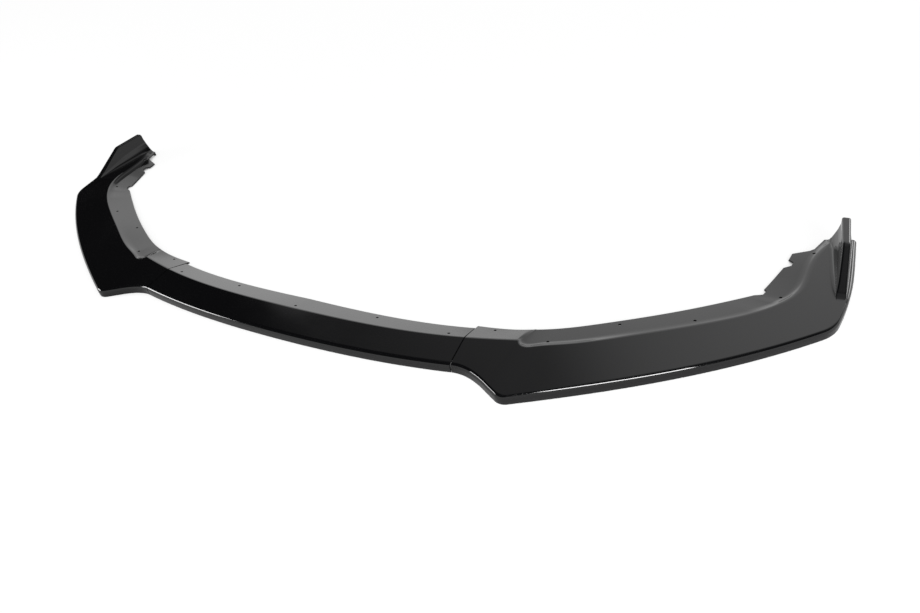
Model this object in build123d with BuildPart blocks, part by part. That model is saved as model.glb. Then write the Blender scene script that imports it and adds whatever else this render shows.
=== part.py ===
# Front splitter lip in three gloss plastic mouldings: a centre section and two handed side sections.
# Each moulding is a thin shell, open underneath, with a front band, a deck and a rear screw flange.
# x runs across the car, y rearward and z up; the origin is on the floor below the middle of the lip.
import os
from itertools import accumulate, pairwise
from math import cos, hypot, radians, sin, sqrt, tan

from build123d import *

os.makedirs("parts", exist_ok=True)

# Overall sizes, wall and rounding, in mm
half_width = 876.5
overall_depth = 520
wall = 3
edge_round = 4
screw_hole_d = 5

# Front edge of the centre, seam and front corner: x from the middle or the seam, y from the foremost point
front_mid_y = 12
seam_x = 342
seam_front_y = 36.5
seam_lean = 3
seam_gap = 1.2
cut_end = (70, 15.5)
front_corner = (100, -2)
front_corner_r = 13

# Tail: distances in from the widest point and forward from the rear end
rear_corner = (14, 232)
rear_corner_r = 70
widest_back = 108
tail_inset = 3.5
tail_width = 49
notch_r = 2.5

# Headings of the outer edge, in degrees from straight across
seam_heading = 9.6
cut_heading = -32.6
blade_front_heading = 27.7
blade_rear_heading = 45
tail_front_heading = 77
tail_rear_heading = 92

# Pocket that carries the flange of a side section
pocket_gap = 6
pocket_drop = 5.5

# Fin: lengths from the rear end, then levels with a height and how far in from the widest point the inner
# and the outer face stand, each at the front and at the rear
fin_top_z = 62.5
fin_deck_z = 17
fin_length = 163
fin_top_length = 79
fin_back_lean = 2
fin_corner_r = 6
fin_edge_bevel = 1.8
fin_levels = [
    (4, (19, 47.5), (5.5, 8.5)),
    (fin_deck_z, (15.5, 43), (7, 11.5)),
    (32, (16, 37.5), (7.5, 15.5)),
    (fin_top_z, (17, 34), (7.5, 20.5)),
]

# Overlap tongue of the centre section, under each side section
tongue_length = 22
tongue_root = 14
tongue_wall = 2.5
tongue_fit = 0.3
tongue_front_y = 48
tongue_back_y = 130

# A height above the whole lip
sky = 2 * fin_top_z


def spot(x, y, z=0):
    return Vector(x, y - overall_depth / 2, z)


def aft(inset, back, z=0):
    """A spot measured in from the widest point and forward from the rear end."""
    return spot(half_width - inset, overall_depth - back, z)


def beyond(x, y, z=0):
    """A spot measured outward from the seam."""
    return spot(seam_x + x, y, z)


def blade(share, back, z=0):
    """A spot some way from the front corner to the rear corner, and so far behind the straight line between."""
    first = beyond(*front_corner)
    run = aft(*rear_corner) - first
    return first + run * share + Vector(-run.Y, run.X, 0).normalized() * back + Vector(0, 0, z)


def at_seam(y):
    return beyond(-(y - seam_front_y) * tan(radians(seam_lean)), y)


def heading(angle):
    return Vector(cos(radians(angle)), sin(radians(angle)), 0)


def inward(point, angle_in, angle_out, inset):
    """A corner of the plan moved in from both of its edges."""
    first = heading(angle_in + 90)
    second = heading(angle_out + 90)
    return point + (first + second) * (inset / (1 + first.dot(second)))


def outer_edge(inset):
    """The front and outer edge from the middle to the tail, moved inward by the inset."""
    middle = spot(0, front_mid_y + inset)
    seam = inward(at_seam(seam_front_y), seam_heading, seam_heading, inset)
    cut = inward(beyond(*cut_end), cut_heading, cut_heading, inset)
    corner = inward(beyond(*front_corner), cut_heading, blade_front_heading, inset)
    rear = inward(aft(*rear_corner), blade_rear_heading, tail_front_heading, inset)
    widest = aft(inset, widest_back)
    tail = inward(aft(tail_inset, 0), tail_rear_heading, 180, inset)
    Spline(middle, seam, tangents=[heading(0), heading(seam_heading)])
    Spline(seam, cut, tangents=[heading(seam_heading), heading(cut_heading)])
    Line(cut, corner)
    Spline(corner, rear, tangents=[heading(blade_front_heading), heading(blade_rear_heading)])
    Spline(rear, widest, tail, tangents=[heading(tail_front_heading), heading(90), heading(tail_rear_heading)])
    return middle, tail


# Rear edge of the flange: the centre run, the blade run after a small jog at the seam, then the notched tail
centre_back = [spot(0, 120), spot(160, 120), at_seam(138)]
blade_back = [at_seam(146.5), beyond(83, 158), blade(0.37, 121), blade(0.61, 115), aft(137.5, 174)]
notches = [
    aft(124.5, 170),
    aft(120.5, 159),
    aft(124.5, 154),
    aft(104.5, 90),
    aft(93.5, 84),
    aft(91.5, 74),
    aft(99.5, 66),
    aft(96.5, 47),
    aft(71.5, 38),
    aft(64.5, 32),
]

# Screw holes through the flange, from the middle outward
screw_spots = [
    spot(0, 83),
    spot(160.5, 107),
    beyond(-35, 101.5),
    beyond(30.5, 140),
    beyond(126, 133),
    blade(0.426, 107.5),
    blade(0.643, 78.3),
    aft(97.5, 176),
    aft(63.5, 48),
]

with BuildSketch() as lip_plan:
    with BuildLine():
        middle, tail = outer_edge(0)
        Polyline(tail, aft(tail_inset + tail_width, 0), *reversed(notches), blade_back[-1])
        Spline(*reversed(blade_back))
        Line(blade_back[0], centre_back[-1])
        Spline(*reversed(centre_back), tangents=[heading(192), heading(180)])
        Line(centre_back[0], middle)
    make_face()

with BuildSketch() as void_plan:
    with BuildLine():
        middle, tail = outer_edge(wall)
        Polyline(tail, spot(0, overall_depth - wall), middle)
    make_face()

with BuildSketch() as tongue_plan:
    with BuildLine():
        Polyline(
            beyond(-tongue_root, tongue_front_y),
            beyond(tongue_length, tongue_front_y),
            beyond(tongue_length, tongue_back_y),
            beyond(-tongue_root, tongue_back_y),
            close=True,
        )
    make_face()


def guide(points, path):
    """A smooth curve through the points, which are spaced as those of the path are."""
    spacing = list(accumulate(((b - a).length for a, b in pairwise(path)), initial=0))
    return Edge.make_spline(points, parameters=spacing)


def ruled(first, second):
    """A surface ruled between two guides of as many points, so that point faces point."""
    return Face.make_surface_from_curves(guide(first, first), guide(second, first))


def beside(points, gap, drop):
    """A path moved to its left by the gap and down by the drop."""
    moved = []
    for i, point in enumerate(points):
        along = points[min(i + 1, len(points) - 1)] - points[max(i - 1, 0)]
        left = Vector(-along.Y, along.X, 0).normalized()
        moved.append(point + left * gap - Vector(0, 0, drop))
    return moved


# Roof: the lowest of these surfaces, each ruled between two guides that overshoot the plan
deck = ruled(
    [
        spot(-5, -15, 16.6),
        spot(seam_x / 2, -15, 16.5),
        beyond(0, -15, 16.1),
        beyond(108, -18, 17.2),
        blade(0.518, -70.7, 18.2),
        aft(-38.5, 250, 17.5),
        aft(-48.5, -40, 17.3),
    ],
    [
        spot(-5, 95, 22.2),
        spot(seam_x / 2, 100, 22.3),
        beyond(0, 122, 22.5),
        beyond(82, 140, 22.7),
        blade(0.588, 86.8, 17.8),
        aft(91.5, 140, 16.4),
        aft(61.5, -20, 16.2),
    ],
)
centre_flange = ruled(
    [spot(-5, 63.5, 24.7), spot(seam_x / 2, 69, 24.7), beyond(0, 88.5, 24.7), beyond(90, 111, 24.5)],
    [spot(-5, 132, -0.5), spot(seam_x / 2, 134, -0.5), beyond(-2, 153, 0.5), beyond(92, 172, 6)],
)

# Crease between the blade and its pocket: a short jog off the centre's crease, then the long run
crease_plan = [
    beyond(82.4, 117.5),
    beyond(88, 109.5),
    beyond(98, 107),
    beyond(111, 112),
    blade(0.244, 78.5),
    blade(0.434, 69.5),
    blade(0.709, 63.6),
    aft(96.5, 198),
    aft(70.5, 149),
    aft(61.5, 76),
    aft(54.5, 45),
    aft(23.5, -20),
]
crease = [deck.find_intersection_points(Axis(point, (0, 0, 1)))[0][0] for point in crease_plan]
pocket_low = [
    beyond(88, 172, 7.5),
    blade(0.378, 134, 6.5),
    blade(0.561, 130, 4.5),
    blade(0.757, 131, 1.5),
    aft(161.5, 155, -2),
    aft(134.5, 47, -3.5),
    aft(119.5, -20, -3),
]
riser_top = beside(crease, -pocket_gap / 2, -pocket_drop / 2)
riser_foot = beside(crease, pocket_gap, pocket_drop)
riser = ruled(riser_foot, riser_top)
pocket = Face.make_surface_from_curves(guide(riser_foot, riser_foot), guide(pocket_low, pocket_low))
step = ruled([riser_top[0], beyond(81.5, 172, 7)], [riser_foot[0], pocket_low[0]])


def below_roof(plan, drop, roofs, corners):
    """A block of the given plan that ends under the roof lowered by the drop, with rounded corners."""
    with BuildPart() as block:
        add(plan)
        extrude(amount=sky)
        for corner, radius in corners:
            upright = block.edges().filter_by(Axis.Z).sort_by_distance(corner + Vector(0, 0, sky / 2))[0]
            fillet(upright, radius - drop)
        for roof in roofs:
            extrude(roof.moved(Location((0, 0, -drop))), amount=2 * sky, dir=(0, 0, 1), mode=Mode.SUBTRACT)
    return block.part


def fin(plan, inset):
    """The fin, flared to its foot and sloped in front, within the plan and moved in by the inset."""
    rise = fin_top_z - fin_deck_z
    slope = rise / (fin_length - fin_top_length)
    foot_z = fin_levels[0][0]
    front = fin_length + (fin_deck_z - foot_z) / slope - inset * hypot(1, slope) / slope
    kink = front - (fin_top_z - inset - foot_z) / slope
    with BuildPart() as block:
        for z, inner, outer in fin_levels:
            with BuildSketch(Plane.XY.offset(z)):
                with BuildLine():
                    Polyline(
                        aft(inner[0] - inset, front),
                        aft(outer[0] + inset, front),
                        aft(outer[1] + inset, 0),
                        aft(inner[1] - inset, 0),
                        close=True,
                    )
                make_face()
        loft()
        with BuildSketch(Plane.YZ):
            with BuildLine():
                Polyline(
                    (aft(0, front).Y, foot_z),
                    (aft(0, kink).Y, fin_top_z - inset),
                    (aft(0, inset + fin_back_lean).Y, fin_top_z - inset),
                    (aft(0, inset).Y, fin_deck_z),
                    (aft(0, inset).Y, foot_z),
                    close=True,
                )
            make_face()
        extrude(amount=2 * half_width, mode=Mode.INTERSECT)
        top = block.faces().sort_by(Axis.Z)[-1]
        fillet(top.edges().filter_by(Axis.X), fin_corner_r - inset)
        add(plan)
        extrude(amount=sky, mode=Mode.INTERSECT)
    return block.part


corners = [(beyond(*front_corner), front_corner_r), (aft(*rear_corner), rear_corner_r)]
notch_corners = [(point, notch_r) for point in notches]
roofs = [deck, centre_flange, riser, pocket, step]
outer_block = below_roof(lip_plan.sketch, 0, roofs, corners + notch_corners)
inner_block = below_roof(void_plan.sketch, wall, roofs, corners)

with BuildPart() as outer_fin:
    add(fin(lip_plan.sketch, 0))
    top = outer_fin.faces().sort_by(Axis.Z)[-1]
    chamfer(top.edges().sort_by(SortBy.LENGTH)[-2:], fin_edge_bevel)

def top_edges(block):
    top = block.faces().filter_by(lambda face: face.normal_at().Z > 0.9).sort_by(SortBy.AREA)[-1]
    return top.edges()


def rim_wall_edges(block):
    upright = block.faces().filter_by(lambda face: abs(face.normal_at().Z) < 0.01)
    return upright.filter_by(lambda face: face.normal_at().X - face.normal_at().Y > 0.2).edges()


# The rim is rounded in three flats that touch one arc: a main one, then one along each of its borders
main_flat = edge_round * (2 - sqrt(2))
side_flat = edge_round * (tan(radians(45 / 2)) - tan(radians(45 / 4)))

with BuildPart() as half:
    add(outer_block)
    chamfer(rim_wall_edges(half) & top_edges(half), main_flat)
    flats = half.faces(Select.LAST).filter_by(lambda face: 0.4 < face.normal_at().Z < 0.9)
    chamfer(flats.edges() & (rim_wall_edges(half) + top_edges(half)), side_flat)
    add(outer_fin.part)
    add(inner_block, mode=Mode.SUBTRACT)
    add(fin(void_plan.sketch, wall), mode=Mode.SUBTRACT)
    with Locations(*screw_spots):
        Cylinder(screw_hole_d / 2, 2 * sky, mode=Mode.SUBTRACT)

# The tongue hangs clear of the side section's skin, on a root that is one with the centre section's skin
skin_roofs = [deck, centre_flange]
tongue_low = wall + tongue_fit + tongue_wall
with BuildPart() as tongue:
    add(below_roof(tongue_plan.sketch, wall + tongue_fit, skin_roofs, []))
    add(below_roof(tongue_plan.sketch, tongue_low, skin_roofs, []), mode=Mode.SUBTRACT)

with BuildPart() as root:
    add(below_roof(tongue_plan.sketch, wall / 2, skin_roofs, []))
    add(below_roof(tongue_plan.sketch, tongue_low, skin_roofs, []), mode=Mode.SUBTRACT)


def seam_plane(shift):
    return Plane(at_seam(seam_front_y) + heading(seam_lean) * shift, x_dir=(0, 0, 1), z_dir=heading(seam_lean))


with BuildPart() as centre_section:
    add(half.part)
    add(root.part)
    split(bisect_by=seam_plane(-seam_gap / 2), keep=Keep.BOTTOM)
    add(tongue.part)
    mirror(about=Plane.YZ)
centre_section.part.label = "centre_section"
export_step(centre_section.part, "parts/centre_section.step")

with BuildPart() as right_side_section:
    add(half.part)
    split(bisect_by=seam_plane(seam_gap / 2), keep=Keep.TOP)
right_side_section.part.label = "right_side_section"
export_step(right_side_section.part, "parts/right_side_section.step")

with BuildPart() as left_side_section:
    add(right_side_section.part)
    mirror(about=Plane.YZ, mode=Mode.REPLACE)
left_side_section.part.label = "left_side_section"
export_step(left_side_section.part, "parts/left_side_section.step")
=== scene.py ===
import bmesh
import bpy
import math
import numpy as np
from mathutils import Matrix, Vector


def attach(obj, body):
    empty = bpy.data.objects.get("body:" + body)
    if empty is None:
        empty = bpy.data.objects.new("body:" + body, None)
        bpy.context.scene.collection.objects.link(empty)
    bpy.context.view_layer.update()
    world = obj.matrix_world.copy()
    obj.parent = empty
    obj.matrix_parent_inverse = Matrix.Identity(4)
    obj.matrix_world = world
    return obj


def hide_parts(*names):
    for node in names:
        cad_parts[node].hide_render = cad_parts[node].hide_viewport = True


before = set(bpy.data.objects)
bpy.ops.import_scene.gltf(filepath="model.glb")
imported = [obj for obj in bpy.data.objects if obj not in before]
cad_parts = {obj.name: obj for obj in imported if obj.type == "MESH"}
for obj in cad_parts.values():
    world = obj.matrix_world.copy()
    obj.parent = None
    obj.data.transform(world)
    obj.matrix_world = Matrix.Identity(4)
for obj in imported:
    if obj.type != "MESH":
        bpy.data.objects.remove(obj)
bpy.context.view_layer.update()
print("frame:", sorted(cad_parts))


# sRGB hex to the linear values that shaders take
def linearColour(hexText):
    parts = [int(hexText[i:i + 2], 16) / 255 for i in (1, 3, 5)]
    return [p / 12.92 if p <= 0.04045 else ((p + 0.055) / 1.055) ** 2.4 for p in parts] + [1.0]


# one node with its settings, input values and links
def addNode(tree, kind, settings=None, values=None, links=None):
    node = tree.nodes.new(kind)
    for key, value in (settings or {}).items():
        setattr(node, key, value)
    for key, value in (values or {}).items():
        node.inputs[key].default_value = value
    for key, source in (links or {}).items():
        tree.links.new(source, node.inputs[key])
    return node


# ABS moulded in a polished tool: deep black, clear reflections, a faint long flow ripple and orange peel
glossBlackAbs = {"colour": "#070708", "ior": 1.53, "roughness": (0.06, 0.12), "rippleMm": 90, "rippleDetail": 3.0,
                 "rippleRange": (0.3, 0.7), "peelMm": 7, "peelDetail": 2.0, "peelDepthMm": 0.004}


def makeGlossBlackAbs(spec):
    mat = bpy.data.materials.new("glossBlackAbs")
    mat.use_nodes = True
    tree = mat.node_tree
    shader = tree.nodes["Principled BSDF"]
    shader.inputs["Base Color"].default_value = linearColour(spec["colour"])
    shader.inputs["IOR"].default_value = spec["ior"]
    place = {"Vector": addNode(tree, "ShaderNodeTexCoord").outputs["Object"]}
    ripple = addNode(tree, "ShaderNodeTexNoise", links=place,
                     values={"Scale": 1000 / spec["rippleMm"], "Detail": spec["rippleDetail"]})
    (trough, crest), (low, high) = spec["rippleRange"], spec["roughness"]
    rough = addNode(tree, "ShaderNodeMapRange", links={"Value": ripple.outputs["Fac"]},
                    values={"From Min": trough, "From Max": crest, "To Min": low, "To Max": high})
    tree.links.new(rough.outputs["Result"], shader.inputs["Roughness"])
    peel = addNode(tree, "ShaderNodeTexNoise", links=place,
                   values={"Scale": 1000 / spec["peelMm"], "Detail": spec["peelDetail"]})
    bump = addNode(tree, "ShaderNodeBump", links={"Height": peel.outputs["Fac"]},
                   values={"Strength": 1.0, "Distance": spec["peelDepthMm"] / 1000})
    tree.links.new(bump.outputs["Normal"], shader.inputs["Normal"])
    return mat


black = makeGlossBlackAbs(glossBlackAbs)
print("material: gloss black ABS")

# sizes of the lip in mm: x out from the middle, y back from the foremost point, z up from the floor
lip = {"depth": 520.0, "wall": 3.0, "seamX": 342.0, "seamY": 36.5, "seamLean": 3.0, "seamGap": 1.9,
       "screwR": 2.5, "pinZ": (-5.0, 45.0), "pinSides": 40, "weldM": 1e-7, "sharpAngle": 38}


def heading(degrees):
    return np.array([math.cos(math.radians(degrees)), math.sin(math.radians(degrees))])


# cubic between two ends, its slopes at them times the span
def hermite(t, start, end, span, leave, arrive):
    return ((2 * t**3 - 3 * t**2 + 1) * start + (t**3 - 2 * t**2 + t) * span * leave
            + (3 * t**2 - 2 * t**3) * end + (t**3 - t**2) * span * arrive)


# cubic between two ends, pulled towards two handles
def bezier(t, start, handleOut, handleIn, end):
    return (1 - t)**3 * start + 3 * t * (1 - t)**2 * handleOut + 3 * t**2 * (1 - t) * handleIn + t**3 * end


# line from start to end that leaves and arrives at two headings, each pull as long as the chord
def bow(start, end, leave, arrive, count=1200):
    start, end = np.array(start, float), np.array(end, float)
    t = np.linspace(0, 1, count)[:, None]
    return hermite(t, start, end, np.linalg.norm(end - start), heading(leave), heading(arrive))


# index of the key at or before each place
def spanOf(keys, at):
    return np.clip(np.searchsorted(keys, at, side="right") - 1, 0, len(keys) - 2)


# natural cubic: bends at the keys solve the three-term equations, values between are two cubics added
def naturalCubic(keys, values, at):
    keys, values, at = np.array(keys, float), np.array(values, float), np.asarray(at, float)
    table = values.reshape(len(keys), -1)
    step = np.diff(keys)
    inner = np.arange(1, len(keys) - 1)
    system = np.eye(len(keys))
    system[inner, inner - 1], system[inner, inner + 1] = step[:-1], step[1:]
    system[inner, inner] = 2 * (step[:-1] + step[1:])
    pull = np.zeros_like(table)
    pull[1:-1] = 6 * np.diff(np.diff(table, axis=0) / step[:, None], axis=0)
    bend = np.linalg.solve(system, pull)
    k = spanOf(keys, at)
    a = ((keys[k + 1] - at) / step[k])[:, None]
    b = 1 - a
    found = (a * table[k] + b * table[k + 1]
             + ((a**3 - a) * bend[k] + (b**3 - b) * bend[k + 1]) * (step[k]**2)[:, None] / 6)
    return found if values.ndim > 1 else found[:, 0]


# rising cubic through keys: each slope is the harmonic mean of its neighbours, so it never turns back
def risingCubic(keys, values, at):
    step = np.diff(keys)
    slope = np.diff(values) / step
    both = slope[:-1] + slope[1:]
    mean = np.where(slope[:-1] * slope[1:] > 0, 2 * slope[:-1] * slope[1:] / np.where(both == 0, 1, both), 0)
    lean = np.concatenate([slope[:1], mean, slope[-1:]])
    k = spanOf(keys, at)
    return hermite((at - keys[k]) / step[k], values[k], values[k + 1], step[k], lean[k], lean[k + 1])


# steps from key to key, level at each key
def easedSteps(keys, values, at):
    values = np.array(values, float)
    k = spanOf(keys, at)
    t = (at - keys[k]) / np.diff(keys)[k]
    return values[k] + (values[k + 1] - values[k]) * t**2 * (3 - 2 * t)


# running length of a line of points
def lengths(line):
    return np.concatenate([[0.0], np.cumsum(np.linalg.norm(np.diff(line, axis=0), axis=1))])


# smooth line through a few spots, natural cubic over the chord length
def through(spots, count=3000):
    spots = np.array(spots, float)
    run = lengths(spots)
    return naturalCubic(run, spots, np.linspace(0, run[-1], count))


def pointsAt(line, s):
    run = lengths(line)
    return np.stack([np.interp(s, run, line[:, 0]), np.interp(s, run, line[:, 1])], axis=1)


def lengthsNear(line, spots):
    gap = np.linalg.norm(line[None] - np.array(spots, float)[:, None], axis=2)
    return lengths(line)[gap.argmin(axis=1)]


# a line's spots at given x, read on its part that runs outwards, or at given y, read on a part that runs back
def spotsAcross(line, x):
    line = line[:np.argmax(line[:, 0]) + 1]
    return np.column_stack([x, np.interp(x, line[:, 0], line[:, 1])])


def spotsBack(line, y):
    return np.column_stack([np.interp(y, line[:, 1], line[:, 0]), y])


# two lines that meet at a corner, joined by a near-circular cubic that starts and ends one cut away from it
def roundedJoin(before, after, cut, count=200):
    runBefore, runAfter = lengths(before), lengths(after)
    before, after = before[runBefore < runBefore[-1] - cut], after[runAfter > cut]
    u, v = before[-1] - before[-2], after[1] - after[0]
    u, v = u / np.linalg.norm(u), v / np.linalg.norm(v)
    turn = math.acos(float(np.clip(u @ v, -1, 1)))
    chord = np.linalg.norm(after[0] - before[-1])
    handle = 4 / 3 * math.tan(turn / 4) * chord / (2 * math.sin(turn / 2))
    t = np.linspace(0, 1, count)[1:-1, None]
    arc = bezier(t, before[-1], before[-1] + u * handle, after[0] - v * handle, after[0])
    return np.concatenate([before, arc, after])


# plan of the right half: outer edge with its headings, crease where the deck turns down, rear edge of the flange
plan = {"middle": (0, 12), "seam": (342, 36.5), "notch": (412, 15.5), "frontCorner": (442, -2),
        "rearCorner": (862.5, 288), "widest": (876.5, 412), "tail": (873, 520), "frontCut": 11.5, "rearCut": 20.07,
        "seamHeading": 9.6, "notchHeading": -32.6, "bladeHeadings": (27.7, 45), "rearHeadings": (77, 90),
        "tailHeading": 92, "cutSpots": 200, "bladeSpots": 2400, "creaseSpots": 6000,
        "centreCrease": [(0, 73.4), (190, 78.8), (340, 98), (424.4, 117.5)],
        "sideCrease": [(424.4, 117.5), (430, 109.5), (440, 107), (453, 112), (500, 133.3), (585, 181), (704, 256),
                       (780, 322), (806, 371), (815, 444), (822, 475), (853, 540)],
        "centreRear": [(0, 120), (160, 120), (336.7, 138), (380, 147.2)],
        "sideRear": [(336.4, 146.5), (425, 158), (529, 205), (632, 269), (739, 346)],
        "tailRear": [(739, 346), (752, 350), (756, 361), (752, 366), (772, 430), (783, 436), (785, 446), (777, 454),
                     (780, 473), (805, 482), (812, 488), (824, 520)]}


def outerEdge(spec):
    front = np.concatenate([bow(spec["middle"], spec["seam"], 0, spec["seamHeading"]),
                            bow(spec["seam"], spec["notch"], spec["seamHeading"], spec["notchHeading"])[1:],
                            np.linspace(spec["notch"], spec["frontCorner"], spec["cutSpots"])[1:]])
    blade = bow(spec["frontCorner"], spec["rearCorner"], *spec["bladeHeadings"], spec["bladeSpots"])
    tail = np.concatenate([bow(spec["rearCorner"], spec["widest"], *spec["rearHeadings"]),
                           bow(spec["widest"], spec["tail"], spec["rearHeadings"][1], spec["tailHeading"])[1:]])
    return roundedJoin(roundedJoin(front, blade, spec["frontCut"]), tail, spec["rearCut"])


# the part of a line before the seam (side -1) or after it (side 1), half the gap short of it
def upToSeam(line, side):
    off = line[:, 0] - lip["seamX"] + (line[:, 1] - lip["seamY"]) * math.tan(math.radians(lip["seamLean"]))
    edge = side * lip["seamGap"] / 2
    first = int(np.argmax(off > edge))
    share = (edge - off[first - 1]) / (off[first] - off[first - 1])
    cut = line[first - 1:first] * (1 - share) + line[first:first + 1] * share
    return np.concatenate([line[:first], cut]) if side < 0 else np.concatenate([cut, line[first:]])


# handle of a near-circular quarter turn, how much of its share of a run an easing may use, least length of a run
easing = {"handle": 0.5523, "fullest": 0.98, "least": 1e-6}


# closed loops of straight runs, one per station; each corner is eased by a cubic that starts one reach before it and
# ends one reach after it, and runs are stepped finer towards their ends. The table has for each corner its reach, its
# steps, the steps of the run after it and the share of that run which it may use
def easedLoops(corners, table, reach=None):
    reaches, easeCount, runCount, lead = zip(*table.values())
    reach = np.broadcast_to(reaches if reach is None else reach, corners.shape[:2])[..., None]
    lead = np.array(lead, float)[None, :, None]
    ahead, behind = np.roll(corners, -1, axis=1) - corners, np.roll(corners, 1, axis=1) - corners
    lenAhead, lenBehind = (np.maximum(np.linalg.norm(way, axis=2, keepdims=True), easing["least"])
                           for way in (ahead, behind))
    roomBehind = (1 - np.roll(lead, 1, axis=1)) * lenBehind * easing["fullest"]
    start = corners + behind / lenBehind * np.minimum(reach, roomBehind)
    end = corners + ahead / lenAhead * np.minimum(reach, lead * lenAhead * easing["fullest"])
    nextStart = np.roll(start, -1, axis=1)
    rows = []
    for k, (steps, run) in enumerate(zip(easeCount, runCount)):
        a, c, d = start[:, k, None], corners[:, k, None], end[:, k, None]
        t = np.linspace(0, 1, steps)[None, :, None]
        rows.append(bezier(t, a, a + easing["handle"] * (c - a), d + easing["handle"] * (c - d), d))
        t = ((1 - np.cos(np.pi * np.arange(1, run) / run)) / 2)[None, :, None]
        rows.append(d * (1 - t) + nextStart[:, k, None] * t)
    firsts = np.cumsum([0] + [steps + run - 1 for steps, run in zip(easeCount, runCount)])
    return np.concatenate(rows, axis=1), dict(zip(table, firsts))


# rows and columns of points joined by four-cornered faces, the columns closed into rings
def ringFaces(rows, columns):
    index = np.arange(rows * columns).reshape(rows, columns)
    side = np.roll(index, -1, axis=1)
    return np.stack([index[:-1], side[:-1], side[1:], index[1:]], axis=2).reshape(-1, 4).tolist()


# mm and y from the foremost point, to metres in the frame
def placed(points):
    return (points.reshape(-1, 3) - (0, lip["depth"] / 2, 0)) / 1000


def meshObject(name, points, faces):
    mesh = bpy.data.meshes.new(name)
    mesh.from_pydata(points.tolist(), [], faces)
    work = bmesh.new()
    work.from_mesh(mesh)
    bmesh.ops.remove_doubles(work, verts=work.verts, dist=lip["weldM"])
    bmesh.ops.recalc_face_normals(work, faces=work.faces)
    work.to_mesh(mesh)
    work.free()
    piece = bpy.data.objects.new(name, mesh)
    bpy.context.scene.collection.objects.link(piece)
    return piece


# a run of closed loops as one object, a flat face at each end
def tubeObject(name, loops):
    rows, columns = loops.shape[:2]
    ends = [list(range(columns)), list(range((rows - 1) * columns, rows * columns))]
    return meshObject(name, placed(loops), ringFaces(rows, columns) + ends)


# upright pins, circle by height, that the screw holes are cut with
def pinCutter(name, spots):
    count, spots = lip["pinSides"], np.array(spots, float)
    angle = np.linspace(0, 2 * np.pi, count, endpoint=False)
    ring = lip["screwR"] * np.stack([np.cos(angle), np.sin(angle)], axis=1)
    flat = np.broadcast_to(spots[:, None, None, :] + ring[None, None], (len(spots), 2, count, 2))
    heights = np.broadcast_to(np.array(lip["pinZ"])[None, :, None, None], (len(spots), 2, count, 1))
    base = np.arange(len(spots))[:, None, None] * 2 * count
    walls = (base + np.array(ringFaces(2, count))[None]).reshape(-1, 4).tolist()
    lowEnds = base[:, :, 0] + np.arange(count)
    ends = np.concatenate([lowEnds, lowEnds + count]).tolist()
    return meshObject(name, placed(np.concatenate([flat, heights], axis=3)), walls + ends)


# a piece with other pieces cut from it or joined to it, the others then removed
def combined(piece, others):
    for other, operation in others:
        step = piece.modifiers.new(operation.lower(), "BOOLEAN")
        step.operation, step.solver, step.object = operation, "EXACT", other
    bpy.context.view_layer.update()
    result = bpy.data.meshes.new_from_object(piece.evaluated_get(bpy.context.evaluated_depsgraph_get()))
    piece.modifiers.clear()
    old, piece.data = piece.data, result
    bpy.data.meshes.remove(old)
    result.name = piece.name
    for other, operation in others:
        bpy.data.meshes.remove(other.data)
    return piece


def finished(piece, node):
    piece.data.shade_smooth()
    piece.data.set_sharp_from_angle(angle=math.radians(lip["sharpAngle"]))
    piece.data.materials.clear()
    piece.data.materials.append(black)
    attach(piece, "root")
    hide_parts(node)
    print(piece.name, len(piece.data.polygons), "faces")


edgeLine = outerEdge(plan)
centreCrease, sideCrease = through(plan["centreCrease"]), through(plan["sideCrease"], plan["creaseSpots"])
centreRear, sideRear = through(plan["centreRear"]), through(plan["sideRear"])
tailRear = np.array(plan["tailRear"], float)

# middle moulding: heights of rim, crease and rear edge over x, screw spots and table of corners
centre = {"stations": 92, "x": [-342, -190, 0, 190, 342], "rim": [18.51, 18.15, 18.01, 18.15, 18.51],
          "crease": [21.3, 21.14, 21.12, 21.14, 21.3], "rear": [5.5, 4.8, 3.9, 4.8, 5.5],
          "screws": [(0, 83), (160.5, 107), (307, 101.5), (-160.5, 107), (-307, 101.5)],
          "corners": {"bandFoot": (0.5, 3, 4, 0.4), "rim": (7.0, 13, 18, 0.5), "crease": (1.4, 6, 12, 0.5),
                      "rearTop": (0.8, 4, 1, 0.4), "rearLow": (0.8, 4, 8, 0.5), "creaseLow": (0, 1, 12, 0.5),
                      "rimLow": (4.0, 6, 3, 0.5), "innerFoot": (0.5, 3, 1, 0.5)}}


# section of the middle moulding: a band, a deck and a flange 3 mm thick, carried from seam to seam
def centreMoulding(spec):
    share = np.linspace(0, 1, spec["stations"])
    lines = [upToSeam(line, -1) for line in (edgeLine, centreCrease, centreRear)]
    lines = [pointsAt(line, share * lengths(line)[-1]) for line in lines]
    lines = [np.concatenate([(line * (-1, 1))[:0:-1], line]) for line in lines]
    rim, crease, rear = (np.column_stack([line, naturalCubic(spec["x"], spec[key], line[:, 0])])
                         for line, key in zip(lines, ("rim", "crease", "rear")))
    flat, down = (1, 1, 0), np.array([0, 0, lip["wall"]])
    back = (crease - rim) * flat
    back /= np.linalg.norm(back, axis=1, keepdims=True)
    inner = rim + back * lip["wall"]
    rearLow = rear - down
    rearLow[:, 2] = np.maximum(rearLow[:, 2], 0)
    corners = np.stack([rim * flat, rim, crease, rear, rearLow, crease - down, inner - down, inner * flat], axis=1)
    loops, _ = easedLoops(corners, spec["corners"])
    return tubeObject("centreMoulding", loops)


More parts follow.
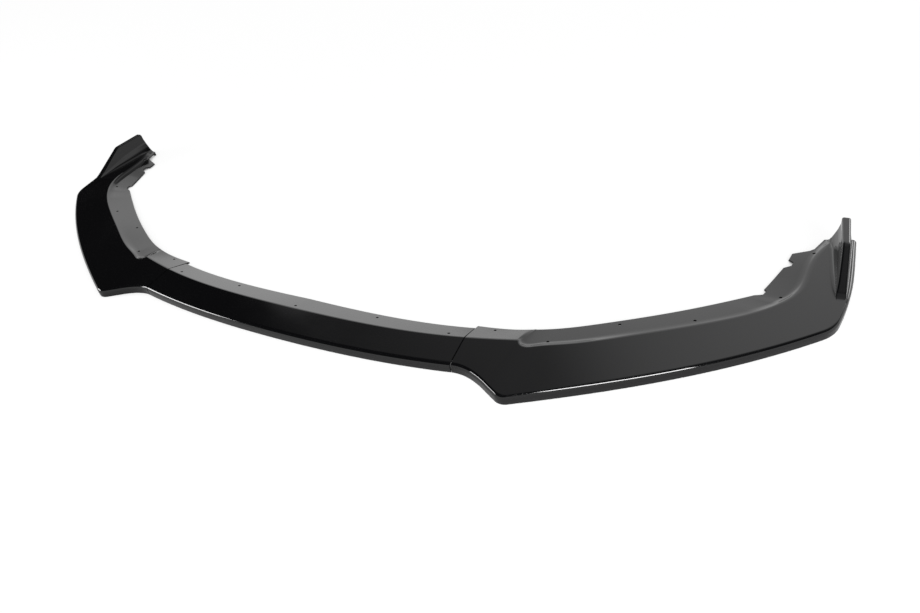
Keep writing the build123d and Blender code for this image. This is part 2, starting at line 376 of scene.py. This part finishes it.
# lap tongue: heights of the skin above it over x, its front and rear edge in y, how far below the skin it lies past the
# seam (clear) and how far it grips into the skin before it
lapTongue = {"stations": 40, "x": (326, 342, 364), "rim": (18.48, 18.51, 18.45), "crease": (21.29, 21.3, 21.42),
             "rear": (5.45, 5.5, 5.6), "frontY": 50.0, "rearY": 128.0, "thick": 2.5, "clear": 0.3, "grip": 0.5,
             "gripEnd": 3,
             "corners": {"frontTop": (0.4, 3, 6, 0.5), "creaseTop": (1.2, 5, 4, 0.5), "rearTop": (0.4, 3, 2, 0.5),
                         "rearLow": (0.4, 3, 4, 0.5), "creaseLow": (1.2, 5, 6, 0.5), "frontLow": (0.4, 3, 2, 0.5)}}


# the tongue is a plate that follows deck and flange below the skin, into the next moulding
def tongue(spec, name, hand):
    x = np.linspace(spec["x"][0], spec["x"][-1], spec["stations"])
    rim, crease, rear = (spotsAcross(line, x) for line in (edgeLine, centreCrease, centreRear))
    rimZ, creaseZ, rearZ = (np.interp(x, spec["x"], spec[key]) for key in ("rim", "crease", "rear"))
    frontShare = (spec["frontY"] - rim[:, 1]) / (crease[:, 1] - rim[:, 1])
    rearShare = (spec["rearY"] - crease[:, 1]) / (rear[:, 1] - crease[:, 1])
    seamX = lip["seamX"] - (crease[:, 1] - lip["seamY"]) * math.tan(math.radians(lip["seamLean"]))
    depth = lip["wall"] + np.where(x < seamX - spec["gripEnd"], -spec["grip"], spec["clear"])
    frontZ = rimZ + (creaseZ - rimZ) * frontShare - depth
    backZ = creaseZ + (rearZ - creaseZ) * rearShare - depth
    top = np.stack([np.column_stack([x, np.full_like(x, spec["frontY"]), frontZ]),
                    np.column_stack([crease, creaseZ - depth]),
                    np.column_stack([x, np.full_like(x, spec["rearY"]), backZ])], axis=1)
    low = top[:, ::-1].copy()
    low[:, :, 2] -= (spec["thick"] - (depth - lip["wall"] - spec["clear"]))[:, None]
    loops, _ = easedLoops(np.concatenate([top, low], axis=1), spec["corners"])
    return tubeObject(name, loops * (hand, 1, 1))


middle = centreMoulding(centre)
middle = combined(middle, [(tongue(lapTongue, "tongueRight", 1), "UNION"),
                           (tongue(lapTongue, "tongueLeft", -1), "UNION"),
                           (pinCutter("centrePins", centre["screws"]), "DIFFERENCE")])
finished(middle, "centre_section")

# side moulding: stations as rim spot, crease spot, rear spot, their heights and the share of the pocket's drop; heights
# over y behind them; spacing of the rows; table of corners
side = {"stations": [((342.6, 36.5), (339.4, 98), (337, 146.6), 18.51, 21.3, 2.9, 0),
                     ((404, 20.2), (421.9, 116.9), (423.5, 157.8), 18.27, 21.6, 8.4, 0),
                     ((409, 17.3), (424.4, 117.5), (434, 161), 18.22, 21.6, 9.1, 1),
                     ((428, 6.2), (440, 107), (437, 162), 18.05, 21.43, 9.1, 1),
                     ((442, 0.2), (453, 112), (447, 165), 17.85, 21.35, 9.0, 1),
                     ((470, 13.2), (475, 121), (465, 172), 18.33, 21.23, 8.9, 0.8),
                     ((663.6, 127.5), (618, 202), (580, 236), 18.2, 18.48, 7.45, 0.15),
                     ((820, 247), (745, 288), (697, 314), 17.31, 16.74, 4.5, 0.2),
                     ((855, 290), (777, 319), (727, 337), 17.16, 16.63, 4.3, 0.6),
                     ((871.9, 346), (794, 346), (739, 346), 16.95, 16.58, 4.37, 1)],
        "tailStart": 346.0, "tailY": [346, 400, 519], "tailRim": [16.95, 16.78, 16.68],
        "tailCrease": [16.58, 16.49, 16.42], "tailSlope": [0.149, 0.19, 0.2], "slopeY": [346, 400, 440],
        "pocketDrop": 5.5, "riserRun": 10.0, "creaseEase": (2.2, 4.6), "easeFrom": 0.85, "leastFacing": 0.4,
        "bladeStep": 4.0, "stepRows": 16, "cornerRun": 12, "cornerRows": 25, "bendShift": 25, "bendRows": 30,
        "leastStep": 0.2, "tailFirst": 2, "tailStep": 2.5, "turnStep": 7.5, "kinkRows": 7, "startRows": 12,
        "leastTailStep": 0.02, "rearWallStep": 0.05, "rearWallInset": 0.5, "overlap": (1, 20), "capSkip": 2,
        "screws": [(372.5, 140), (468, 133), (560.1, 210), (667.9, 248.9), (779, 344), (813, 472)],
        "corners": {"bandFoot": (0.5, 3, 4, 0.4), "rim": (7.0, 13, 2, 0.7),
                    "finOuterFoot": (2.5, 6, 2, 0.5), "finOuterLow": (0, 1, 3, 0.5), "finOuterMid": (0, 1, 3, 0.5),
                    "finOuterHigh": (0, 1, 4, 0.1), "finOuterTop": (3.5, 7, 3, 0.5), "finInnerTop": (3.5, 7, 4, 0.9),
                    "finInnerHigh": (0, 1, 3, 0.5), "finInnerMid": (0, 1, 3, 0.5), "finInnerLow": (0, 1, 3, 0.1),
                    "finInnerFoot": (6.0, 8, 14, 0.5), "crease": (4.6, 8, 2, 0.5), "riserFoot": (4.6, 8, 12, 0.6),
                    "rearTop": (0.8, 4, 1, 0.5), "rearLow": (0.4, 3, 8, 0.5), "riserFootLow": (0, 1, 2, 0.5),
                    "creaseLow": (0, 1, 12, 0.5), "voidInnerFoot": (0, 1, 3, 0.5), "voidInnerTop": (0, 1, 2, 0.5),
                    "voidOuterTop": (0, 1, 3, 0.5), "voidOuterFoot": (0, 1, 2, 0.5), "rimLow": (4.0, 6, 3, 0.5),
                    "innerFoot": (0.5, 3, 1, 0.5)}}

# end fin: insets of its inner and outer faces from the half width, front and rear, at four levels; its top line, its
# rounding and rear lean; where its spots lie on the deck ahead of it, as distances behind the rim
fin = {"halfWidth": 876.5, "levels": [4.0, 17.0, 32.0, 62.5], "innerFront": [25, 19, 17, 17],
       "innerRear": [47.5, 43, 37.5, 34], "outerFront": [5.5, 7, 7.5, 7.5], "outerRear": [8.5, 11.5, 15.5, 20.5],
       "fromY": 333.0, "runY": 187.0, "slopeStart": 357.0, "topStart": 441.0, "top": 62.5, "kinkRun": 5.0,
       "startRun": 9.0, "rearRound": 6.0, "edgeRound": 3.5, "creaseGap": 1.0, "lean": 2.0, "shares": [0.2, 0.45, 0.72],
       "flat": [8.5, 9, 9.5, 10, 11.5, 15, 16, 16.7, 17.4, 19], "flatVoid": [16, 14.6, 12.6, 11.2], "blendRun": 14.0,
       "leastFeet": (4.6, 12.0), "leastRise": 0.02}


# inset of a fin face at height z: a cubic through the four levels, each level running straight from front to rear
def finInset(spec, face, z, y):
    f = ((y - spec["fromY"]) / spec["runY"])[..., None]
    at = np.array(spec[face + "Front"]) * (1 - f) + np.array(spec[face + "Rear"]) * f
    levels = np.array(spec["levels"])
    order = range(len(levels))
    weight = np.stack([np.prod([(z - levels[j]) / (levels[i] - levels[j]) for j in order if j != i], axis=0)
                       for i in order], axis=-1)
    return (at * weight).sum(axis=-1)


# how far a face has turned in near the rear end, a quarter circle
def rearTurn(y, r):
    over = np.clip(y - (lip["depth"] - r), 0, r)
    return r - np.sqrt(r**2 - over**2)


# top line of the fin: swept up from the deck, up a straight slope, eased into the level top, rounded down at the rear
def finTop(spec, y, deckZ):
    slope = (spec["top"] - spec["levels"][1]) / (spec["topStart"] - spec["slopeStart"])
    kink, start = spec["kinkRun"], spec["startRun"]
    line = spec["top"] - slope * (spec["topStart"] - y)
    eased = spec["top"] - slope * (spec["topStart"] + kink - y)**2 / (4 * kink)
    z = np.where(y < spec["topStart"] - kink, line, np.where(y < spec["topStart"] + kink, eased, spec["top"]))
    sweep = deckZ + slope * np.clip(y - spec["slopeStart"] + start, 0, 2 * start)**2 / (4 * start)
    z = np.where(y < spec["slopeStart"] + start, sweep, z)
    return np.maximum(z - rearTurn(y, spec["rearRound"]), deckZ)


# spots on the deck so far behind the rim, on the straight from rim to crease
def onDeck(rim, crease, distance):
    span = np.linalg.norm((crease - rim)[:, :2], axis=1)
    back = (crease - rim)[:, :2] / span[:, None]
    at = np.broadcast_to(distance, (len(rim), np.shape(distance)[-1]))
    flat = rim[:, None, :2] + back[:, None] * at[..., None]
    z = rim[:, None, 2] + (crease - rim)[:, None, 2] * at / span[:, None]
    return np.concatenate([flat, z[..., None]], axis=2)


# section of the fin: five spots up its outer face and five down its inner one, each at a share of the height, and four
# round its hollow; ahead of the fin they lie in the deck, and blend from there
def finSection(spec, rim, crease, y, inTail):
    wall, rise = lip["wall"], spec["leastRise"]
    yFin = np.maximum(y, spec["slopeStart"] - spec["startRun"])
    footZ, across = np.full(len(rim), spec["levels"][1]), rim[:, 0] - spec["halfWidth"]
    feet = onDeck(rim, crease, np.column_stack([np.maximum(across + finInset(spec, face, footZ, yFin), least)
                                                for face, least in zip(("outer", "inner"), spec["leastFeet"])]))
    outerFootZ, innerFootZ = feet[:, 0, 2], feet[:, 1, 2]
    topZ = finTop(spec, yFin, outerFootZ + rise)
    shares = np.array([0] + spec["shares"] + [1])
    outerZ = outerFootZ[:, None] + (topZ - outerFootZ)[:, None] * shares
    innerZ = innerFootZ[:, None] + (np.maximum(topZ, innerFootZ + rise) - innerFootZ)[:, None] * shares
    yGrid, turn = np.repeat(yFin[:, None], len(shares), axis=1), rearTurn(y, spec["edgeRound"])[:, None]
    outerX = spec["halfWidth"] - finInset(spec, "outer", outerZ, yGrid) - turn
    outerX = np.minimum(outerX, rim[:, :1] - spec["leastFeet"][0])
    innerX = spec["halfWidth"] - finInset(spec, "inner", innerZ, yGrid) + turn
    yAll = np.repeat(y[:, None], len(shares), axis=1)
    skin = np.concatenate([np.stack([outerX, yAll, outerZ], axis=2),
                           np.stack([innerX, yAll, innerZ], axis=2)[:, ::-1]], axis=1)
    voidTop = np.maximum(topZ - wall, outerFootZ - wall + rise)
    voidZ = np.column_stack([innerFootZ - wall, voidTop, voidTop, outerFootZ - wall])
    voidX = np.column_stack([innerX[:, 0] + wall, innerX[:, -1] + wall, outerX[:, -1] - wall, outerX[:, 0] - wall])
    hollow = np.stack([voidX, yAll[:, :4], voidZ], axis=2)
    grow = np.clip((y - spec["slopeStart"] + spec["startRun"]) / spec["blendRun"], 0, 1)[:, None, None]
    grow = grow**2 * (3 - 2 * grow) * inTail[:, None, None]
    flat = onDeck(rim, crease, spec["flat"])
    flatHollow = onDeck(rim, crease, spec["flatVoid"]) - (0, 0, wall)
    return flat * (1 - grow) + skin * grow, flatHollow * (1 - grow) + hollow * grow


# rows of the blade as lengths along the rim: even steps, and closer ones at the pocket's end, the front corner and the
# bend
def bladeRows(spec, keys):
    run, shift = spec["cornerRun"], spec["bendShift"]
    s = np.concatenate([np.arange(0, keys[-1], spec["bladeStep"]), keys,
                        np.linspace(keys[1], keys[2], spec["stepRows"]),
                        np.linspace(keys[4] - run, keys[4] + run, spec["cornerRows"]),
                        np.linspace(keys[7] + shift, keys[8] + shift, spec["bendRows"])])
    s = np.unique(np.round(s, 2))
    return np.concatenate([s[:-1][np.diff(s) > spec["leastStep"]], keys[-1:]])


# rows of the tail as y: even steps, and closer ones at the notches, the rear rounding and both ends of the fin's slope
def tailRows(spec, finSpec):
    depth, r = lip["depth"], finSpec["rearRound"]
    y = np.concatenate([np.arange(spec["tailStart"] + spec["tailFirst"], depth - r, spec["tailStep"]),
                        tailRear[1:-1, 1], depth - r + r * np.sin(np.radians(np.arange(0, 91, spec["turnStep"]))),
                        finSpec["topStart"] + np.linspace(-1, 1, spec["kinkRows"]) * finSpec["kinkRun"],
                        finSpec["slopeStart"] + np.linspace(-1, 1, spec["startRows"]) * finSpec["startRun"]])
    y = np.unique(np.round(y, 3))
    y = y[np.concatenate([[True], np.diff(y) > spec["leastTailStep"]])]
    return np.sort(np.concatenate([y, [depth - lip["wall"] + spec["rearWallStep"]]]))


# rim, crease and rear edge of a side moulding row by row, the pocket's share, y (0 along the blade) and which rows are
# tail; the blade's lines are matched station by station, the tail's rows run straight across
def sideLines(spec, finSpec):
    rimLine = upToSeam(edgeLine, 1)
    lines = (rimLine, np.concatenate([upToSeam(centreCrease, 1), sideCrease[1:]]), upToSeam(sideRear, 1))
    columns = list(zip(*spec["stations"]))
    keys = np.array([lengthsNear(line, spots) for line, spots in zip(lines, columns[:3])])
    keys[:, 0] = 0
    s = bladeRows(spec, keys[0])
    blade = [np.column_stack([pointsAt(line, risingCubic(keys[0], key, s)), naturalCubic(keys[0], heights, s)])
             for line, key, heights in zip(lines, keys, columns[3:6])]

    y = tailRows(spec, finSpec)
    overRun, overY = spec["overlap"]
    tailRim = spotsBack(rimLine[lengths(rimLine) > keys[0, -1] - overRun], y)
    tailCrease = spotsBack(sideCrease[sideCrease[:, 1] > spec["tailStart"] - overY], y)
    tailEdge = spotsBack(tailRear, y)
    rimZ, creaseZ = (naturalCubic(spec["tailY"], spec[key], y) for key in ("tailRim", "tailCrease"))
    slope = np.interp(y, spec["slopeY"], spec["tailSlope"])
    edgeZ = creaseZ - spec["pocketDrop"] - slope * (tailCrease[:, 0] - spec["riserRun"] - tailEdge[:, 0])
    tail = [np.column_stack(pair) for pair in ((tailRim, rimZ), (tailCrease, creaseZ), (tailEdge, edgeZ))]

    pocket = np.concatenate([easedSteps(keys[0], columns[6], s), np.full(len(y), columns[6][-1])])
    inTail = np.concatenate([np.zeros(len(s)), np.ones(len(y))])
    return [np.concatenate(pair) for pair in zip(blade, tail)] + [pocket, np.concatenate([np.zeros(len(s)), y]), inTail]


# section of a side moulding, row by row: band, rim, deck with the fin on it, crease, riser, flange, and the same again
# 3 mm inside; the rear 3 mm are a closed wall
def sideMoulding(spec, finSpec):
    wall, depth = lip["wall"], lip["depth"]
    rim, crease, rear, pocket, y, inTail = sideLines(spec, finSpec)

    # the riser's foot: a fixed run behind the crease, between the plain slope and the full drop
    toRear = (rear - crease)[:, :2]
    spanRear = np.linalg.norm(toRear, axis=1)
    straightZ = crease[:, 2] + (rear - crease)[:, 2] * spec["riserRun"] / spanRear
    footZ = straightZ * (1 - pocket) + (crease[:, 2] - spec["pocketDrop"]) * pocket
    foot = np.column_stack([crease[:, :2] + toRear * (spec["riserRun"] / spanRear)[:, None], footZ])

    # the crease keeps clear of the fin's inner face
    yFin = np.maximum(y, finSpec["slopeStart"] - finSpec["startRun"])
    inset = finInset(finSpec, "inner", np.full(len(rim), finSpec["levels"][1]), yFin)
    finFoot = finSpec["halfWidth"] - inset + rearTurn(y, finSpec["edgeRound"])
    crease[:, 0] = np.where(inTail > 0, np.minimum(crease[:, 0], finFoot - finSpec["creaseGap"]), crease[:, 0])
    skin, hollow = finSection(finSpec, rim, crease, y, inTail)

    # the band's inner face, one wall thick square to the rim
    back = (crease - rim)[:, :2]
    back = back / np.linalg.norm(back, axis=1)[:, None]
    tangent = np.gradient(rim[:, :2], axis=0)
    inward = np.column_stack([-tangent[:, 1], tangent[:, 0]]) / np.linalg.norm(tangent, axis=1, keepdims=True)
    facing = np.clip((inward * back).sum(axis=1), spec["leastFacing"], 1)
    inner = rim[:, :2] + back * (wall / facing)[:, None]

    closed = y > depth - wall + spec["rearWallStep"] / 2
    hollow[:, :, 2] = np.where(closed[:, None], 0.0, hollow[:, :, 2])

    # a wall below the skin, or on the floor where the rear is closed
    def below(points, top):
        return np.column_stack([points[:, :2], np.where(closed, 0.0, np.maximum(top - wall, 0))])

    flat = (1, 1, 0)
    innerFoot = np.column_stack([inner, np.zeros(len(inner))])
    rimLow = below(inner + back * closed[:, None] * spec["rearWallInset"], rim[:, 2])
    corners = np.concatenate([np.stack([rim * flat, rim], axis=1), skin,
                              np.stack([crease, foot, rear, below(rear, rear[:, 2]), below(foot, foot[:, 2]),
                                        below(crease, crease[:, 2])], axis=1), hollow,
                              np.stack([rimLow, innerFoot], axis=1)], axis=1)

    # the crease's reach grows over the blade's last rows to what the table has, and stays so along the tail
    table = spec["corners"]
    reach = np.repeat(np.array([row[0] for row in table.values()], float)[None], len(rim), axis=0)
    bladeCount = np.count_nonzero(inTail == 0)
    reach[:, list(table).index("crease")] = np.interp(np.arange(len(rim)), [bladeCount * spec["easeFrom"], bladeCount],
                                                      spec["creaseEase"])
    loops, first = easedLoops(corners, table, reach)

    # the fin leans forward, more the higher and the further back
    level = finSpec["levels"][1]
    lean = (np.clip((loops[..., 2] - level) / (finSpec["top"] - level), 0, 1)
            * np.clip((loops[..., 1] - finSpec["topStart"]) / (depth - finSpec["topStart"]), 0, 1))
    loops[..., 1] -= finSpec["lean"] * lean

    # the rear end: the fin's two faces joined by a strip, closed above it and below it
    rows, columns = loops.shape[:2]
    base = (rows - 1) * columns
    outerUp = np.arange(first["finOuterFoot"] + spec["capSkip"], first["finOuterTop"] + 1)
    innerDown = np.arange(first["finInnerTop"] + table["finInnerTop"][1] - 1, first["finInnerFoot"] + 1)[::-1]
    count = min(len(outerUp), len(innerDown))
    outerUp, innerDown = outerUp[-count:], innerDown[-count:]
    strip = np.stack([outerUp[:-1], innerDown[:-1], innerDown[1:], outerUp[1:]], axis=1)
    topCap = np.arange(outerUp[-1], innerDown[-1] + 1)
    lowCap = np.concatenate([np.arange(0, outerUp[0] + 1), np.arange(innerDown[0], columns)])
    ends = [list(range(columns)), (base + topCap).tolist(), (base + lowCap).tolist()] + (base + strip).tolist()
    return loops, ringFaces(rows, columns) + ends


sidePoints, sideFaces = sideMoulding(side, fin)
for name, hand, node in (("rightSideMoulding", 1, "right_side_section"),
                         ("leftSideMoulding", -1, "left_side_section")):
    piece = meshObject(name, placed(sidePoints * (hand, 1, 1)), sideFaces)
    spots = np.array(side["screws"], float) * (hand, 1)
    finished(combined(piece, [(pinCutter(name + "Pins", spots), "DIFFERENCE")]), node)

# pale floor: the camera sees it near white and it keeps the lip's shadow; the glow that mirrors see carries painted
# shade, an occlusion mask dimming it beside the lip more than in the open
floorSpec = {"sizeM": 14.0, "colour": "#f4f4f4", "cameraGlow": 0.9, "mirrorShadedGlow": (0.2, 0.65), "openness": (0.8, 1.0),
             "shadowMm": 30, "shadowSamples": 8}


def makeFloor(spec):
    half = spec["sizeM"] / 2
    mesh = bpy.data.meshes.new("floor")
    mesh.from_pydata([(-half, -half, 0), (half, -half, 0), (half, half, 0), (-half, half, 0)], [], [(0, 1, 2, 3)])
    floor = bpy.data.objects.new("floor", mesh)
    bpy.context.scene.collection.objects.link(floor)
    mat = bpy.data.materials.new("paleFloor")
    mat.use_nodes = True
    tree = mat.node_tree
    tree.nodes.clear()
    paint = addNode(tree, "ShaderNodeBsdfDiffuse", values={"Color": linearColour(spec["colour"])})
    path = addNode(tree, "ShaderNodeLightPath")
    openness = addNode(tree, "ShaderNodeAmbientOcclusion", {"samples": spec["shadowSamples"]},
                       {"Distance": spec["shadowMm"] / 1000}).outputs["AO"]
    (shut, clear), (dim, bright) = spec["openness"], spec["mirrorShadedGlow"]
    # painted shade: the glow that mirrors see is dimmed where the occlusion mask finds the lip close, brighter in the
    # open
    mirror = addNode(tree, "ShaderNodeMapRange", links={"Value": openness},
                     values={"From Min": shut, "From Max": clear, "To Min": dim, "To Max": bright})
    strength = addNode(tree, "ShaderNodeMapRange", values={"To Min": 1.0},
                       links={"Value": path.outputs["Is Glossy Ray"], "To Max": mirror.outputs["Result"]})
    glow = addNode(tree, "ShaderNodeEmission", values={"Color": (1, 1, 1, 1)},
                   links={"Strength": strength.outputs["Result"]})
    seen = addNode(tree, "ShaderNodeMath", {"operation": "MAXIMUM"},
                   links={0: path.outputs["Is Camera Ray"], 1: path.outputs["Is Glossy Ray"]})
    lit = addNode(tree, "ShaderNodeMath", {"operation": "MULTIPLY"}, {1: spec["cameraGlow"]}, {0: openness})
    share = addNode(tree, "ShaderNodeMath", {"operation": "MULTIPLY"}, links={0: lit.outputs[0], 1: seen.outputs[0]})
    mix = addNode(tree, "ShaderNodeMixShader", links={0: share.outputs[0], 1: paint.outputs[0], 2: glow.outputs[0]})
    addNode(tree, "ShaderNodeOutputMaterial", links={"Surface": mix.outputs[0]})
    mesh.materials.append(mat)


makeFloor(floorSpec)

# studio as the reflections see it: white along the floor, a white backdrop behind, a panel and a wide glow high at the
# back right, a small one overhead, dark elsewhere; aims are azimuth from +x and elevation in degrees, spreads are
# degrees from the aim, the horizon is a range of z and the backdrop's light is given below and above it
studio = {"ceiling": 0.008, "horizon": (0.10, 0.28), "fill": 0.85,
          "backdrop": {"azimuth": 95, "spread": (46, 51.5), "tops": (37, 41), "light": (1.45, 1.1)},
          "panel": {"aim": (75, 42), "spread": (8, 30), "light": 0.8},
          "glow": {"aim": (75, 42), "spread": (25, 58), "light": 0.3},
          "overhead": {"aim": (75, 90), "spread": (6, 26), "light": 0.2}}


def aimed(azimuth, elevation):
    az, el = math.radians(azimuth), math.radians(elevation)
    return (math.cos(az) * math.cos(el), math.sin(az) * math.cos(el), math.sin(el))


def makeStudio(spec):
    world = bpy.data.worlds.new("studio")
    bpy.context.scene.world = world
    world.use_nodes = True
    tree = world.node_tree
    tree.nodes.clear()
    way = addNode(tree, "ShaderNodeTexCoord").outputs["Generated"]
    height = addNode(tree, "ShaderNodeSeparateXYZ", links={0: way}).outputs["Z"]
    level = addNode(tree, "ShaderNodeVectorMath", {"operation": "MULTIPLY"}, {1: (1, 1, 0)}, {0: way})
    level = addNode(tree, "ShaderNodeVectorMath", {"operation": "NORMALIZE"}, links={0: level.outputs[0]})

    # smooth step from one value of a socket to another
    def faded(socket, start, end, low, high):
        return addNode(tree, "ShaderNodeMapRange", {"interpolation_type": "SMOOTHSTEP"},
                       {"From Min": start, "From Max": end, "To Min": low, "To Max": high},
                       {"Value": socket}).outputs["Result"]

    # smooth patch round an aim, full inside the first spread and gone at the second
    def patch(source, aim, spread, light):
        near = addNode(tree, "ShaderNodeVectorMath", {"operation": "DOT_PRODUCT"}, {1: aim}, {0: source})
        full, gone = (math.cos(math.radians(angle)) for angle in spread)
        return faded(near.outputs["Value"], gone, full, 0.0, light)

    def joined(operation, first, second):
        return addNode(tree, "ShaderNodeMath", {"operation": operation}, links={0: first, 1: second}).outputs[0]

    def background(**inputs):
        return addNode(tree, "ShaderNodeBackground", **inputs).outputs[0]

    def mixed(share, first, second):
        return addNode(tree, "ShaderNodeMixShader", links={0: share, 1: first, 2: second}).outputs[0]

    drop = spec["backdrop"]
    full, gone = (math.sin(math.radians(angle)) for angle in drop["tops"])
    backdrop = joined("MULTIPLY", patch(level.outputs[0], aimed(drop["azimuth"], 0), drop["spread"], 1.0),
                      faded(height, full, gone, 1.0, 0.0))
    backdrop = joined("MULTIPLY", backdrop, faded(height, *spec["horizon"], *drop["light"]))
    panel, glow, overhead = (patch(way, aimed(*spec[key]["aim"]), spec[key]["spread"], spec[key]["light"])
                             for key in ("panel", "glow", "overhead"))
    upper = joined("ADD", joined("ADD", panel, glow), overhead)
    horizon = faded(height, *spec["horizon"], 1.0, spec["ceiling"])
    sky = joined("MAXIMUM", joined("MAXIMUM", backdrop, upper), horizon)
    path = addNode(tree, "ShaderNodeLightPath")
    plain = background(values={"Color": (1, 1, 1, 1), "Strength": spec["fill"]})
    white = background(values={"Color": (1, 1, 1, 1), "Strength": 1.0})
    gloss = mixed(path.outputs["Is Glossy Ray"], plain, background(links={"Color": sky}))
    view = mixed(path.outputs["Is Camera Ray"], gloss, white)
    addNode(tree, "ShaderNodeOutputWorld", links={"Surface": view})


makeStudio(studio)

# soft boxes, in metres and watts
lamps = {"keyLeft": {"place": (-2.8, -1.45, 0.95), "aim": (-0.2, -0.2, 0), "size": (1.7, 0.6), "watts": 48},
         "keyRight": {"place": (1.9, -1.6, 1.05), "aim": (0.3, 0, 0), "size": (1.1, 0.6), "watts": 60},
         "rimRight": {"place": (1.96, 2.25, 0.95), "aim": (0.87, 0.2, 0), "size": (0.8, 0.5), "watts": 7}}


def softBox(name, spec):
    light = bpy.data.lights.new(name, "AREA")
    light.shape = "RECTANGLE"
    light.size, light.size_y = spec["size"]
    light.energy = spec["watts"]
    lamp = bpy.data.objects.new(name, light)
    lamp.location = spec["place"]
    lamp.rotation_euler = (Vector(spec["aim"]) - Vector(spec["place"])).to_track_quat("-Z", "Y").to_euler()
    bpy.context.scene.collection.objects.link(lamp)


for name, spec in lamps.items():
    softBox(name, spec)

# camera as the photograph has it: turned, tipped and rolled about its own axis
cameraSpec = {"place": (0.8076, -0.8629, 0.7767), "azimuth": 33.65, "elevation": 39.34, "roll": -11.0, "focalPx": 700,
              "widthPx": 920, "sensorMm": 36.0}


def makeCamera(spec):
    data = bpy.data.cameras.new("camera")
    data.sensor_fit = "HORIZONTAL"
    data.sensor_width = spec["sensorMm"]
    data.lens = spec["focalPx"] / spec["widthPx"] * spec["sensorMm"]
    camera = bpy.data.objects.new("camera", data)
    az, el, roll = (math.radians(spec[k]) for k in ("azimuth", "elevation", "roll"))
    turn = Matrix.Rotation(az, 3, "Z") @ Matrix.Rotation(math.pi / 2 - el, 3, "X") @ Matrix.Rotation(roll, 3, "Z")
    camera.matrix_world = Matrix.Translation(spec["place"]) @ turn.to_4x4()
    bpy.context.scene.collection.objects.link(camera)
    bpy.context.scene.camera = camera


makeCamera(cameraSpec)
bpy.context.scene.view_settings.view_transform = "Standard"
print("stage: floor, studio and camera")
